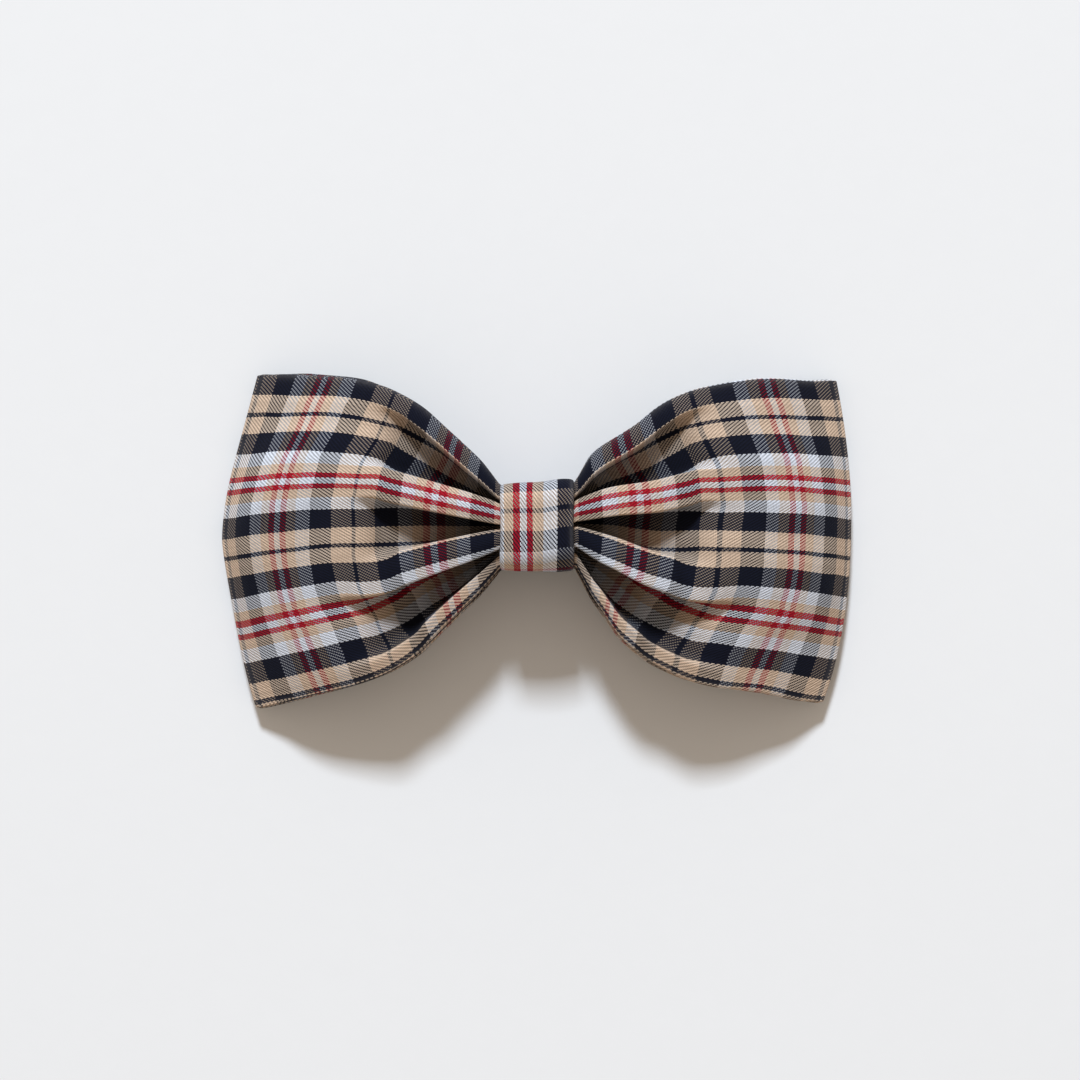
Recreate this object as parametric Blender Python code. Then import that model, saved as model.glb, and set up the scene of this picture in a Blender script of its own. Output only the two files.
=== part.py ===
# A bow tie for a pet collar, lying on its back with its front face up.
#
# It is made of four sewn pieces: two wings, each a loop of cloth that is pleated where it is
# pinched; the centre band wrapped round the middle, where the wings meet; and a flat elastic
# loop behind the band, which a collar slides through.
#
# X runs along the bow, Y up its face and Z out of its front. The origin is on the surface
# that it lies on, under the middle of the centre band. All sizes are in metres.

import math

import bmesh
import bpy
import numpy as np

# The bow
BOW_LENGTH = 0.110
BOW_HEIGHT = 0.0584
CLOTH_WALL = 0.0012
RIDGE_HEIGHT = 0.0182
TIP_HEIGHT = 0.0028
TIP_RADIUS = 0.0007
TIP_BULGE = 0.0061
PINCH_HALF_HEIGHT = 0.0062
MIDDLE_RISE = 0.0021

# The centre band
BAND_WIDTH = 0.0127
BAND_WALL = 0.0012
BAND_FRONT_RADIUS = 0.0034
BAND_BACK_RADIUS = 0.0022
BAND_EDGE_RADIUS = 0.0004

# The elastic loop that a collar slides through
LOOP_WIDTH = 0.0100
LOOP_WALL = 0.0010
SLOT_HEIGHT = 0.0045
SLOT_SPAN = 0.0120
LOOP_EDGE_RADIUS = 0.0002

# Touching pieces keep this gap
FIT_GAP = 0.0003

# Heights that follow from the stack: loop, band, pinched cloth, band
LOOP_TOP = 2 * LOOP_WALL + SLOT_HEIGHT
BAND_BACK = LOOP_TOP + FIT_GAP
PINCH_BACK = BAND_BACK + BAND_WALL + FIT_GAP

# How the half of the cloth from the bow's middle line (0) to its edge (1) is pleated.
# turn is the share of the fold angle by which the cloth climbs (+) or falls (-) there:
# up from the middle valley, over a flat-topped ridge, down to the outer valley, and up to a
# ridge that rolls over at the edge.
PLEAT_COLUMNS = ("across", "turn")
PLEATS = (
    (0.000, 0.00),
    (0.045, 1.00),
    (0.250, 1.00),
    (0.310, 0.30),
    (0.400, -0.30),
    (0.460, -1.00),
    (0.660, -1.00),
    (0.720, 1.00),
    (0.860, 1.00),
    (0.930, 0.30),
    (1.000, -0.50),
)
RIDGE_ROWS = (3, 4)

# The wing from the band's edge (0) to the tip (1), measured along the cloth.
# spread is how far the cloth has opened from the pinched height (0) to the bow's height (1),
# rise the share left of the middle's rise above the tips, ridge a share of the ridge height,
# and floor_gap the clearance under the back panel as a share of the pinched cloth's.
# The fold and crown angles, in degrees, are the steepness of the pleats and of the edges.
WING_COLUMNS = (
    "along",
    "spread",
    "rise",
    "ridge",
    "fold",
    "crown",
    "floor_gap",
    "back_fold",
    "back_crown",
)
WING_SECTIONS = (
    (0.00, 0.000, 1.00, 1.00, 80.0, 4.0, 1.00, 46.0, 0.0),
    (0.03, 0.085, 1.00, 1.01, 79.0, 4.0, 1.00, 45.0, 0.0),
    (0.09, 0.206, 1.00, 1.02, 76.0, 4.0, 0.93, 42.0, 0.0),
    (0.18, 0.361, 0.98, 1.03, 68.0, 5.0, 0.74, 36.0, 1.0),
    (0.36, 0.635, 0.90, 1.01, 48.0, 6.0, 0.28, 22.0, 4.0),
    (0.50, 0.787, 0.78, 0.94, 32.0, 9.0, 0.06, 11.0, 6.0),
    (0.64, 0.870, 0.60, 0.79, 19.0, 10.0, 0.00, 5.0, 6.0),
    (0.76, 0.924, 0.38, 0.59, 12.0, 9.0, 0.00, 2.0, 5.0),
    (0.88, 0.969, 0.16, 0.33, 6.0, 6.0, 0.05, 0.0, 3.0),
    (1.00, 1.000, 0.00, 0.00, 0.0, 0.0, 0.00, 0.0, 0.0),
)
CAVITY_FIRST_STEP = 3

# Each wing's tip: side is -1 for the left and 1 for the right, furthest is the place across
# where it reaches furthest (0 is the middle, 1 the upper corner), upper_back and lower_back
# are shares of the tip's bulge by which its corners stand back from there, upper_round and
# lower_round say how square (high) or pointed (low) each half is, and height is the wing's
# share of the bow's height.
TIP_COLUMNS = (
    "side",
    "furthest",
    "upper_back",
    "lower_back",
    "upper_round",
    "lower_round",
    "height",
)
TIPS = (
    (-1, 0.00, 1.00, 1.00, 1.45, 1.45, 1.000),
    (1, 0.18, 0.41, 0.87, 1.60, 2.30, 0.968),
)

# How the tip settles to its own height, from the band's edge (0) to the tip (1)
SETTLE_COLUMNS = ("along", "share")
SETTLE = (
    (0.0, 0.0),
    (0.8, 0.0),
    (1.0, 1.0),
)

# The least share of a stretch of cloth that still goes towards the tip
LEAST_FORWARD = 0.45

# How round the elastic's folds are, as a share of the slot's height: 0.5 is a half circle
SLOT_ROUNDING = 0.48

# How finely the cloth is divided: steps along a wing and how evenly they are spaced, steps
# across half of it if they were even, and the steps of a round corner or a soft edge
STEPS_ALONG = 15
SPACING_ALONG = 0.92
STEPS_ACROSS_HALF = 14
CORNER_STEPS = 5
EDGE_STEPS = 2

# Edges that turn by more than this are sharp
SHARP_ANGLE = math.radians(50)


def column(table, names, wanted):
    """One named column of a table, as an array."""
    return np.array([row[names.index(wanted)] for row in table])


def eased(table, names, key, wanted, at):
    """A table's column read at any place, on a smooth curve that doesn't overshoot its rows."""
    x, y = column(table, names, key), column(table, names, wanted)
    slope = np.diff(y) / np.diff(x)
    rise = np.zeros_like(y)
    rise[0], rise[-1] = slope[0], slope[-1]
    turning = slope[:-1] * slope[1:] <= 0
    mean = 2 * slope[:-1] * slope[1:] / np.where(turning, 1, slope[:-1] + slope[1:])
    rise[1:-1] = np.where(turning, 0, mean)
    row = np.clip(np.searchsorted(x, at, side="right") - 1, 0, len(x) - 2)
    span = x[row + 1] - x[row]
    t = (at - x[row]) / span
    return (
        y[row] * (1 + 2 * t) * (1 - t) ** 2
        + rise[row] * span * t * (1 - t) ** 2
        + y[row + 1] * t * t * (3 - 2 * t)
        + rise[row + 1] * span * t * t * (t - 1)
    )


def section(across, fold, crown):
    """One section of pleated cloth, from its middle line out: (y, z) with the cloth's half
    width as 1, folding by fold and sloping down to its edge by crown, both in radians."""
    fine = np.linspace(0, 1, 801)
    turn = eased(PLEATS, PLEAT_COLUMNS, "across", "turn", fine)
    angle = fold * turn - crown * fine
    step = fine[1]
    y = np.concatenate([[0], np.cumsum((np.cos(angle[1:]) + np.cos(angle[:-1])) / 2 * step)])
    z = np.concatenate([[0], np.cumsum((np.sin(angle[1:]) + np.sin(angle[:-1])) / 2 * step)])
    return np.interp(across, fine, y) / y[-1], np.interp(across, fine, z)


def wing_panels(along, across, tip):
    """The outer faces of a wing's front and back panels, as if on the right: two arrays of
    points, one row for each place along the cloth and one column for each place across it,
    from -1 to 1. tip is the wing's row of the tips table, by column name."""
    half_bow = BOW_HEIGHT / 2
    pinch_edge = BAND_WIDTH / 2 + FIT_GAP

    def at(name):
        return eased(WING_SECTIONS, WING_COLUMNS, "along", name, along)

    opened = half_bow * tip["height"] - PINCH_HALF_HEIGHT
    half_height = PINCH_HALF_HEIGHT + at("spread") * opened
    centre = at("rise") * MIDDLE_RISE
    ridge = TIP_HEIGHT + TIP_RADIUS + at("ridge") * (RIDGE_HEIGHT - TIP_HEIGHT - TIP_RADIUS)
    to_tip = eased(SETTLE, SETTLE_COLUMNS, "along", "share", along)
    floor_gap = at("floor_gap") * PINCH_BACK + to_tip * (TIP_HEIGHT - TIP_RADIUS)
    out = np.abs(across)
    side = np.sign(across)
    ridge_place = column(PLEATS, PLEAT_COLUMNS, "across")[list(RIDGE_ROWS)].mean(keepdims=True)
    front = np.zeros((len(along), len(across), 3))
    back = np.zeros_like(front)
    for i in range(len(along)):
        fold, crown = math.radians(at("fold")[i]), math.radians(at("crown")[i])
        y, z = section(out, fold, crown)
        ridge_z = section(ridge_place, fold, crown)[1][0]
        front[i, :, 1] = centre[i] + side * y * half_height[i]
        front[i, :, 2] = ridge[i] + (z - ridge_z) * half_bow
        fold, crown = math.radians(at("back_fold")[i]), math.radians(-at("back_crown")[i])
        back[i, :, 1] = front[i, :, 1]
        z = section(out, fold, crown)[1]
        back[i, :, 2] = floor_gap[i] + (z - z.min()) * half_bow
    # The cloth doesn't stretch: what it climbs or spreads over is taken from its reach, and
    # so its corners reach less far than the middle of the tip
    above = np.maximum(0, across - tip["furthest"]) / (1 - tip["furthest"])
    below = np.maximum(0, tip["furthest"] - across) / (1 + tip["furthest"])
    corner = tip["upper_back"] * above ** tip["upper_round"]
    corner = corner + tip["lower_back"] * below ** tip["lower_round"]
    reach = BOW_LENGTH / 2 - TIP_RADIUS - pinch_edge - TIP_BULGE * corner
    step = np.diff(along)[:, None] * (BOW_LENGTH / 2 - pinch_edge)
    moved = np.diff(front[:, :, 1], axis=0) ** 2 + np.diff(front[:, :, 2], axis=0) ** 2
    forward = np.sqrt(np.maximum(step**2 - moved, (LEAST_FORWARD * step) ** 2))
    share = np.vstack([np.zeros(len(across)), np.cumsum(forward, axis=0)])
    front[:, :, 0] = back[:, :, 0] = pinch_edge + reach * share / share[-1]
    return front, back


def normals(points):
    """The unit normal at each point of a grid, pointing to +Z where the grid lies flat."""
    along, across = np.gradient(points, axis=0), np.gradient(points, axis=1)
    normal = np.cross(along, across)
    return normal / np.linalg.norm(normal, axis=2, keepdims=True)


def places_across():
    """Places across the cloth, -1 to 1, closer together where the pleats turn."""
    rows = column(PLEATS, PLEAT_COLUMNS, "across")
    half = [0.0]
    for low, high in zip(rows[:-1], rows[1:]):
        steps = math.ceil((high - low) * STEPS_ACROSS_HALF - 0.02)
        half.extend(low + (high - low) * (k + 1) / steps for k in range(steps))
    return np.array([-place for place in half[:0:-1]] + half)


def wing_grids(tip):
    """The grids of a wing, as if on the right: front and back outside, front and back inside,
    and the row that the inside starts from."""
    along = np.linspace(0, 1, STEPS_ALONG + 1) ** SPACING_ALONG
    across = places_across()
    front, back = wing_panels(along, across, tip)
    first = CAVITY_FIRST_STEP
    front_in = front - CLOTH_WALL * normals(front)
    back_in = back + CLOTH_WALL * normals(back)
    middle = (front_in[first] + back_in[first]) / 2
    front_in[first] = back_in[first] = middle
    tip_in = (front_in[-1] + back_in[-1]) / 2
    tip_in[:, 0] = front[-1, :, 0] - CLOTH_WALL
    front_in[-1] = back_in[-1] = tip_in
    return front, back, front_in, back_in, first


def pinched_rows(front, back):
    """The front and back of the pinched cloth inside the band, from where the wings meet to
    the band's edge."""
    inside = (FIT_GAP / 2, BAND_WIDTH / 4, BAND_WIDTH / 2)
    rows_front, rows_back = [], []
    for x in inside:
        for rows, edge in ((rows_front, front[0]), (rows_back, back[0])):
            row = edge.copy()
            row[:, 0] = x
            rows.append(row)
    return rows_front, rows_back


class Skin:
    """A mesh built up from named grids of points, each point made once."""

    def __init__(self):
        self.bm = bmesh.new()
        self.made = {}

    def vertex(self, point):
        key = tuple(round(float(v) * 1e7) for v in point)
        if key not in self.made:
            self.made[key] = self.bm.verts.new([float(v) for v in point])
        return self.made[key]

    def face(self, *points):
        corners = []
        for point in points:
            vertex = self.vertex(point)
            if vertex not in corners:
                corners.append(vertex)
        if len(corners) > 2:
            self.bm.faces.new(corners)

    def sheet(self, rows):
        """Four-sided faces between neighbouring rows of points."""
        for one, other in zip(rows[:-1], rows[1:]):
            for j in range(len(one) - 1):
                self.face(one[j], other[j], other[j + 1], one[j + 1])

    def rim(self, outside, inside):
        """The strip between two lines of points, which may share their ends."""
        for i in range(len(outside) - 1):
            self.face(outside[i], outside[i + 1], inside[i + 1], inside[i])

    def finish(self, name):
        bmesh.ops.recalc_face_normals(self.bm, faces=self.bm.faces)
        mesh = bpy.data.meshes.new(name)
        self.bm.to_mesh(mesh)
        self.bm.free()
        return mesh


def mirrored(rows):
    """Rows of points with X turned round."""
    return [row * np.array([-1, 1, 1]) for row in rows]


def wing_mesh(name, tip):
    """A wing as one solid: a cloth loop, open along its upper and lower edges, that closes in
    the pinched middle."""
    front, back, front_in, back_in, first = wing_grids(tip)
    core_front, core_back = pinched_rows(front, back)
    nose = (front[-1] + back[-1]) / 2
    nose[:, 0] += TIP_RADIUS
    flip = mirrored if tip["side"] < 0 else list
    outer_front = flip([*core_front, *front])
    outer_back = flip([*core_back, *back])
    inner_front, inner_back = flip(front_in[first:]), flip(back_in[first:])
    nose_row = flip([nose])
    skin = Skin()
    skin.sheet([*outer_front, *nose_row, *outer_back[::-1]])
    skin.sheet([*inner_front, *inner_back[-2::-1]])
    skin.rim(outer_front[0], outer_back[0])
    for edge in (0, -1):
        fronts = [row[edge] for row in outer_front]
        backs = [row[edge] for row in outer_back]
        lead = len(fronts) - len(inner_front)
        ins_front = [row[edge] for row in inner_front]
        ins_back = [row[edge] for row in inner_back]
        skin.rim(fronts[: lead + 1], backs[: lead + 1])
        skin.face(fronts[lead], ins_front[0], backs[lead])
        skin.rim(fronts[lead:], ins_front)
        skin.rim(backs[lead:], ins_back)
        skin.face(fronts[-1], nose_row[0][edge], backs[-1], ins_front[-1])
    return skin.finish(name)


def rounded_outline(half_span, low, high, low_radius, high_radius):
    """A closed outline of (y, z) points with round corners, going round from its low side,
    level with the bow's middle."""
    corners = (
        (half_span - low_radius, low + low_radius, low_radius, -90),
        (half_span - high_radius, high - high_radius, high_radius, 0),
        (-half_span + high_radius, high - high_radius, high_radius, 90),
        (-half_span + low_radius, low + low_radius, low_radius, 180),
    )
    outline = []
    for y, z, radius, start in corners:
        for k in range(CORNER_STEPS + 1):
            turn = math.radians(start + 90 * k / CORNER_STEPS)
            outline.append(
                (MIDDLE_RISE + y + radius * math.cos(turn), z + radius * math.sin(turn))
            )
    return outline


def band_mesh(name, width, outer, inner):
    """A flat band bent into a ring: two outlines with as many points, and a width along X."""
    bm = bmesh.new()
    rings = []
    for x in (-width / 2, width / 2):
        for outline in (outer, inner):
            rings.append([bm.verts.new((x, y, z)) for y, z in outline])
    outer_left, inner_left, outer_right, inner_right = rings
    count = len(outer)
    for k in range(count):
        n = (k + 1) % count
        bm.faces.new((outer_left[k], outer_left[n], outer_right[n], outer_right[k]))
        bm.faces.new((inner_left[k], inner_right[k], inner_right[n], inner_left[n]))
        bm.faces.new((outer_left[n], outer_left[k], inner_left[k], inner_left[n]))
        bm.faces.new((outer_right[k], outer_right[n], inner_right[n], inner_right[k]))
    bmesh.ops.recalc_face_normals(bm, faces=bm.faces)
    mesh = bpy.data.meshes.new(name)
    bm.to_mesh(mesh)
    bm.free()
    return mesh


def centre_band_mesh():
    """The cloth band round the pinched middle."""
    inner_span = PINCH_HALF_HEIGHT + FIT_GAP
    inner_low = PINCH_BACK - FIT_GAP
    inner_high = RIDGE_HEIGHT + FIT_GAP
    outer = rounded_outline(
        inner_span + BAND_WALL,
        inner_low - BAND_WALL,
        inner_high + BAND_WALL,
        BAND_BACK_RADIUS,
        BAND_FRONT_RADIUS,
    )
    inner = rounded_outline(
        inner_span,
        inner_low,
        inner_high,
        BAND_BACK_RADIUS - BAND_WALL,
        BAND_FRONT_RADIUS - BAND_WALL,
    )
    return band_mesh("centre_band", BAND_WIDTH, outer, inner)


def collar_loop_mesh():
    """The elastic loop, a flattened ring that lies against the back of the band."""
    half_span = SLOT_SPAN / 2
    inner_radius = SLOT_HEIGHT * SLOT_ROUNDING
    outer_radius = inner_radius + LOOP_WALL
    outer = rounded_outline(half_span + LOOP_WALL, 0, LOOP_TOP, outer_radius, outer_radius)
    inner = rounded_outline(half_span, LOOP_WALL, LOOP_TOP - LOOP_WALL, inner_radius, inner_radius)
    return band_mesh("collar_loop", LOOP_WIDTH, outer, inner)


def material(name, colour, roughness):
    """A cloth or elastic finish."""
    made = bpy.data.materials.new(name)
    made.use_nodes = True
    surface = made.node_tree.nodes["Principled BSDF"]
    surface.inputs["Base Color"].default_value = (*colour, 1)
    surface.inputs["Roughness"].default_value = roughness
    surface.inputs["Metallic"].default_value = 0
    return made


def piece(name, mesh, finish, edge_radius=0):
    """Puts a mesh in the scene as one of the bow tie's pieces."""
    made = bpy.data.objects.new(name, mesh)
    made.data.materials.append(finish)
    bpy.context.scene.collection.objects.link(made)
    if edge_radius:
        bevel = made.modifiers.new("soft_edges", "BEVEL")
        bevel.width = edge_radius
        bevel.segments = EDGE_STEPS
        bevel.limit_method = "ANGLE"
        bevel.angle_limit = SHARP_ANGLE
    mesh.shade_smooth()
    mesh.set_sharp_from_angle(angle=SHARP_ANGLE)
    return made


def build():
    """Clears the scene and makes the four pieces."""
    for obj in list(bpy.data.objects):
        bpy.data.objects.remove(obj)
    plaid = material("plaid_cotton", (0.60, 0.42, 0.27), 0.85)
    band_plaid = material("band_plaid_cotton", (0.68, 0.50, 0.36), 0.85)
    elastic = material("black_elastic", (0.03, 0.03, 0.035), 0.8)
    for row in TIPS:
        tip = dict(zip(TIP_COLUMNS, row))
        name = "left_wing" if tip["side"] < 0 else "right_wing"
        piece(name, wing_mesh(name, tip), plaid)
    piece("centre_band", centre_band_mesh(), band_plaid, BAND_EDGE_RADIUS)
    piece("collar_loop", collar_loop_mesh(), elastic, LOOP_EDGE_RADIUS)


build()
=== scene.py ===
"""A plaid pet bow tie: two pleated cloth wings, a centre band and an elastic collar loop."""

import math

import bpy
import numpy as np
from bpy.props import FloatProperty, FloatVectorProperty, IntProperty, PointerProperty
from bpy.types import Operator, Panel, PropertyGroup
from mathutils import Matrix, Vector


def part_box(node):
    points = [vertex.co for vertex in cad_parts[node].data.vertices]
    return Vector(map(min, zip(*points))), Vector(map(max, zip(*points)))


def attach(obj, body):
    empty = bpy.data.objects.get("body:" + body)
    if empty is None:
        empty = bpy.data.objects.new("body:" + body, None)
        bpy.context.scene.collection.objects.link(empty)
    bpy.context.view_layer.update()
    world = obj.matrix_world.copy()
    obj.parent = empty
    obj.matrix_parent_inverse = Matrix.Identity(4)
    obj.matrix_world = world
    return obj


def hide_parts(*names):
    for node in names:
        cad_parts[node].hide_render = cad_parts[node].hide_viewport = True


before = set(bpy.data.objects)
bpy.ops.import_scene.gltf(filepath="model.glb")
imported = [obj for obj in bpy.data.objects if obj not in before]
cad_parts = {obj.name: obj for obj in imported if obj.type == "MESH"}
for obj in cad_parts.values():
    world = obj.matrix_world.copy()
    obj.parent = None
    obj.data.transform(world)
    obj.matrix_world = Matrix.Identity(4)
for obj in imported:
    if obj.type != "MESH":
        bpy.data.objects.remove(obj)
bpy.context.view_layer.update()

bl_info = {
    "name": "Pet Bow Tie",
    "version": (1, 0, 0),
    "blender": (4, 5, 0),
    "location": "3D View > Sidebar > Bow Tie",
    "description": "Sews a pleated plaid bow tie for a pet collar",
    "category": "Add Mesh",
}

BOW_HIGH = np.array([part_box("left_wing")[1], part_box("right_wing")[1]], float).max(axis=0)
BAND_LOW, BAND_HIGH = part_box("centre_band")
LOOP_LOW, LOOP_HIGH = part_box("collar_loop")
MIDDLE_RISE = float(BAND_LOW[1] + BAND_HIGH[1]) / 2
MIDDLE_SHIFT = float(BAND_LOW[0] + BAND_HIGH[0]) / 2
MM = 0.001

# The walls of the pleats on one half of the cloth, from its middle line (0) to its edge (1).
# lip is the crisp edge at a wall's top, at the band, and drift is how far it has moved at the
# tip; falls is the way the wall goes down, to the middle (-1) or to the edge (1); width is how
# much of the cloth is in the wall at the band; angle is its steepness there in degrees, and
# runs_out how far along the wing it ends
UPPER_WALLS = (
    (0.235, -0.03, -1, 0.215, 95.0, 0.54),
    (0.415, 0.06, 1, 0.235, 90.0, 0.56),
    (0.865, 0.03, -1, 0.210, 84.0, 0.62),
)
LOWER_WALLS = (
    (0.205, 0.02, -1, 0.195, 86.0, 0.50),
    (0.385, 0.14, 1, 0.250, 94.0, 0.66),
    (0.890, 0.02, -1, 0.215, 84.0, 0.72),
)
BACK_WALLS = (
    (0.250, -0.05, -1, 0.140, 46.0, 0.60),
    (0.410, 0.08, 1, 0.140, 46.0, 0.60),
    (0.890, 0.02, -1, 0.130, 44.0, 0.60),
)

# The wing from the band's edge (0) to the tip (1): how far the cloth has spread from the
# pinch to the full height, the share left of the middle's rise, the height of the ridges,
# how much deeper than wide the pleats are, the run down to the edges (crown) in degrees, and
# the clearance under the back panel
WING_COLUMNS = ("along", "spread", "rise", "ridge", "depth", "crown", "floor_gap", "back_crown")
WING_ROWS = (
    (0.00, 0.053, 1.00, 1.00, 1.32, 4.0, 1.00, 0.0),
    (0.03, 0.105, 1.00, 1.01, 1.36, 4.0, 1.00, 0.0),
    (0.09, 0.206, 1.00, 1.02, 1.42, 4.0, 0.93, 0.0),
    (0.18, 0.347, 0.98, 1.03, 1.48, 5.0, 0.74, 1.0),
    (0.27, 0.488, 0.95, 1.03, 1.50, 6.0, 0.50, 3.0),
    (0.36, 0.626, 0.90, 1.01, 1.48, 6.0, 0.28, 4.0),
    (0.44, 0.727, 0.84, 0.97, 1.40, 8.0, 0.14, 5.0),
    (0.52, 0.806, 0.76, 0.91, 1.25, 9.0, 0.05, 6.0),
    (0.64, 0.881, 0.60, 0.78, 1.00, 10.0, 0.00, 6.0),
    (0.76, 0.925, 0.38, 0.59, 1.00, 9.0, 0.00, 5.0),
    (0.88, 0.965, 0.16, 0.33, 1.00, 6.0, 0.05, 3.0),
    (1.00, 1.000, 0.00, 0.00, 1.00, 0.0, 0.00, 0.0),
)

# How the right wing differs from the left, in millimetres: how much taller each half of it is
# and how much higher its middle lies
RIGHT_COLUMNS = ("along", "taller", "higher")
RIGHT_ROWS = (
    (0.00, 0.0, 0.5),
    (0.12, 1.2, 0.1),
    (0.28, 1.4, -0.8),
    (0.50, 1.1, -0.6),
    (0.80, 0.3, -0.1),
    (1.00, 0.0, 0.0),
)

# Each wing's tip: side, where along the edge it reaches furthest (0 is the middle, 1 the upper
# corner), how far the corners stand back from there, how round each half of it is, and the
# wing's half height as a share of the bow's
TIP_COLUMNS = ("side", "furthest", "up_back", "low_back", "up_round", "low_round", "height")
TIPS = (
    (-1, 0.00, 0.0061, 0.0061, 1.45, 1.45, 1.000),
    (1, 0.18, 0.0025, 0.0053, 1.60, 2.30, 0.968),
)

# The cloth's soft waves: a step on from the wing's own seed, how many waves are added up, and
# their shortest and longest length in metres
WING_SEEDS = {-1: 11, 1: 23}
WAVES = (
    ("soft", 0, 7, 0.016, 0.034),
    ("small", 1, 9, 0.006, 0.012),
    ("lift", 3, 7, 0.016, 0.030),
    ("slack", 4, 4, 0.015, 0.040),
    ("ripple", 5, 4, 0.018, 0.045),
)

# The stretches of a wing, from the band's edge (0) to the tip (1), over which things change
STRETCHES = {
    "back_to_tip": (0.72, 1.0),
    "loose": (0.15, 0.6),
    "puckers_start": (0.0, 0.12),
    "puckers_end": (0.25, 0.75),
    "waves_end": (0.86, 1.0),
    "tip_bends": (0.6, 1.0),
    "sliver_starts": (0.45, 0.62),
    "sliver_ends": (0.80, 0.97),
}

# Puckers at the band: how many, how far out they start, their widths and how much they drift as
# shares of the cloth's half width
PUCKER_STEP, PUCKERS = 2, 9
PUCKER_PLACE, PUCKER_WIDTHS, PUCKER_DRIFT = 0.95, (0.018, 0.035), 0.10

# Heights and depths in metres: the puckers, the slack of the open edges, the ripple of the tip,
# and the sliver of the left wing's back panel that shows above its front
PUCKER_HEIGHT = 0.00025
SLACK = 0.00025
RIPPLE = 0.00022
SLIVER = 0.0009

# The height of the small waves as a share of the soft ones, how closely the slack keeps to the
# edges, and where across the cloth the sliver begins
SMALL_SHARE = 0.18
EDGE_ONLY = 6
SLIVER_FROM = 0.6

# Clearances in metres: beside the band, between a wing's panels as far along as CEILING_TO,
# between the two wings, and of the back panels above the band's back
BAND_CLEARANCE = 0.0003
PANEL_CLEARANCE, CEILING_TO = 0.0003, 0.3
WING_CLEARANCE = 0.00008
BACK_RISE = 0.0015

# Cloth that spreads sideways gains at least this share of its own length towards the tip
LEAST_FORWARD = 0.5

# How a pleat's section is drawn, with the cloth's half width as 1: how tight its lip and its
# foot are at the band and how much they ease as it runs out, how much of its steepness it
# loses past SLUMP_FROM, and how the strips between the lips and the edge strip are crowned
SECTION_STEPS = 1601
LIP_TIGHT, LIP_EASES = 0.010, 0.022
FOOT_TIGHT, FOOT_EASES = 0.020, 0.040
SLUMP_FROM, SLUMP = 0.60, 0.45
STRIP_CROWN, STRIP_FADE, STRIP_LEAST = 22.4, 1.3, 0.02
EDGE_FALL, EDGE_FROM, EDGE_TO = 32, 0.02, 1.04

# Columns of the cloth's grid crowd near the lips: how much closer, how far from the lip, and
# the place along the wing where the lip's drift is read; its rows crowd towards the band
CROWDING, CROWDED_SPAN, CROWDED_AT = 2.0, 0.035, 0.3
ROW_CROWDING = 1.08

# The cloth's wall thins at the pressed tip and inside the band, in shares and in metres
TIP_THINNER, TIP_THIN_SPAN = 0.62, 0.0022
CORE_WALL, CORE_BEFORE, CORE_SPAN = 0.62, 0.9, 0.006
CORE_ROWS = 5

# Wear shows within this distance of the tip's crease, and along the open edges
TIP_WEAR = 0.0009
EDGE_WEAR = 60

# The centre band: rows round it and columns across it, the waist of its front in shares and
# metres, its crown and its sag in metres, and how its right side is pulled up
BAND_ROWS, BAND_COLUMNS = 176, 44
WAIST, WAIST_SPAN = 0.022, 0.006
BAND_CROWN, BAND_SAG, BAND_SET = 0.00028, 0.00009, 0.00008
SAG_WAVES = (5, 6, 0.006, 0.014)
PULL_FROM, PULL_BACK = -0.1, 0.3
PULL_ROUND, PULL_LEAN = (-0.2, 0.6), 0.4
BAND_WEAR = 24

# The plaid: colour name and width in millimetres, read in both directions
PLAID = (
    ("navy", 3.7),
    ("white", 2.3),
    ("tan", 1.7),
    ("red", 1.1),
    ("white", 1.1),
    ("red", 1.1),
    ("tan", 1.7),
    ("white", 2.3),
    ("navy", 3.7),
    ("tan", 3.0),
    ("navy", 0.8),
    ("tan", 3.0),
)

# How the plaid is laid on each piece of cloth: the shift along and across it in millimetres,
# and the way the twill's diagonals lean, 1 or -1
LAY_COLUMNS = ("piece", "along", "across", "slant")
LAYS = (
    ("left_wing", 0.4, 25.3, 1),
    ("right_wing", 18.4, 25.3, -1),
    ("centre_band", 19.4, 7.1, -1),
)

# The threads sway by SWAY metres. A float rises over its length and dives at its ends (a
# smaller end power is squarer), the warp stays far below the weft, and SHOWS_THROUGH is how
# much of the thread beneath tints the one on top. The lower a thread lies, the darker it is
# painted: painted shade between the threads
SWAY_SCALE, SWAY = 90.0, 0.0007
WEFT_END, WARP_END, WARP_HEIGHT = 0.70, 0.6, 0.13
SHOWS_THROUGH = 0.35

# What makes the threads lighter and darker: the least brightness and what the cause adds to it.
# The thread, fibre and patch causes are the cloth's own tones; the gap and fold causes are
# painted shade, where a thread lies low and where the cloth lies deep in a fold
SHADES = (
    ("thread", 0.90, 0.16),
    ("fibre", 0.80, 0.40),
    ("patch", 0.93, 0.14),
    ("painted_gap_shade", 0.14, 1.02),
    ("fold", 1.00, -0.54),
)
THREAD_SEEDS = (0.37, 0.71)
FIBRE_FINE, FIBRE_LONG = 3.0, 0.5
PATCH_SCALE = 160.0

# Fuzz: its scale in threads, its share on worn edges and everywhere, and its colour
FUZZ_SCALE, FUZZ_WORN, FUZZ_ALL = 0.8, 0.10, 0.006
FUZZ_COLOUR = (0.62, 0.58, 0.56, 1.0)

# Relief in metres: the cloth's grain and its threads with their hairs
GRAIN_SCALE, GRAIN_DEPTH = 700.0, 0.00012
THREAD_DEPTH, HAIRINESS = 0.00007, 0.35

# The elastic: spacing of its ribs and of the picks across them in metres, how far the picks
# bend at a rib, and its relief in metres
RIB_PITCH, PICK_PITCH, PICK_BEND = 0.00085, 0.00045, 1.4
ELASTIC_DEPTH = 0.00012
FLUFF_SCALE = 3500.0

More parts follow.
